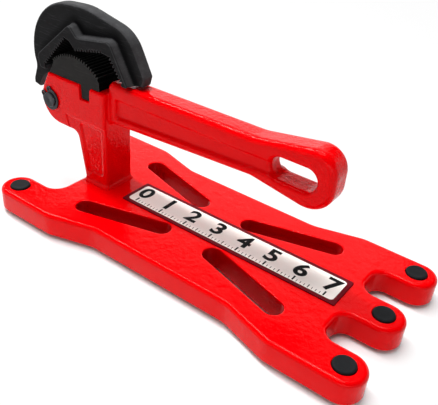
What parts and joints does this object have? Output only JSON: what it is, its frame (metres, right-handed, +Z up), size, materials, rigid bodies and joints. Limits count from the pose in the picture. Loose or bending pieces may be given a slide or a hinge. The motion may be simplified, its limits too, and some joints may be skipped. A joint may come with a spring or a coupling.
{
  "type": "portable pipe vise stand",
  "caption": "Step-on steel base plate with a fixed wrench-shaped pipe vise: toothed heel jaw, sprung hook jaw on a cross pin, and a handle with a hanging loop.",
  "frame": {"origin": "on the floor, under the middle of the whole stand's bounding box", "axes": "+X along the base plate towards its three prongs, +Y towards the far side in the picture, +Z up"},
  "size_m": [0.361, 0.148, 0.1681],
  "materials": {
    "red_enamel": "gloss red enamel over a casting",
    "jaw_steel": "matt blackened jaw steel",
    "oxide_steel": "black oxide",
    "spring_steel": "bright spring wire",
    "rubber": "moulded black rubber",
    "label_vinyl": "printed vinyl label, cream with a dark red border"
  },
  "bodies": {
    "stand": {"base_plate": "red_enamel", "vise_upright": "red_enamel", "heel_jaw": "jaw_steel", "pivot_pin": "oxide_steel", "retaining_ring_right": "oxide_steel", "retaining_ring_left": "oxide_steel", "upright_screw_right": "oxide_steel", "upright_screw_left": "oxide_steel", "heel_jaw_screw": "oxide_steel", "jaw_spring": "spring_steel", "label_plate": "label_vinyl", "rubber_foot_front_right": "rubber", "rubber_foot_front_middle": "rubber", "rubber_foot_front_left": "rubber", "rubber_foot_rear_right": "rubber", "rubber_foot_rear_left": "rubber"},
    "hook": {"hook_jaw": "jaw_steel"}
  },
  "joints": [
    {"name": "hook_jaw_pivot", "type": "hinge", "parent": "stand", "child": "hook", "pos_m": [-0.14685, 0, 0.086], "axis": [0, -1, 0], "range_deg": [0, 75], "stiffness_Nm_per_rad": 0.35, "springref_deg": -40.11, "deforming": ["jaw_spring"]}
  ]
}
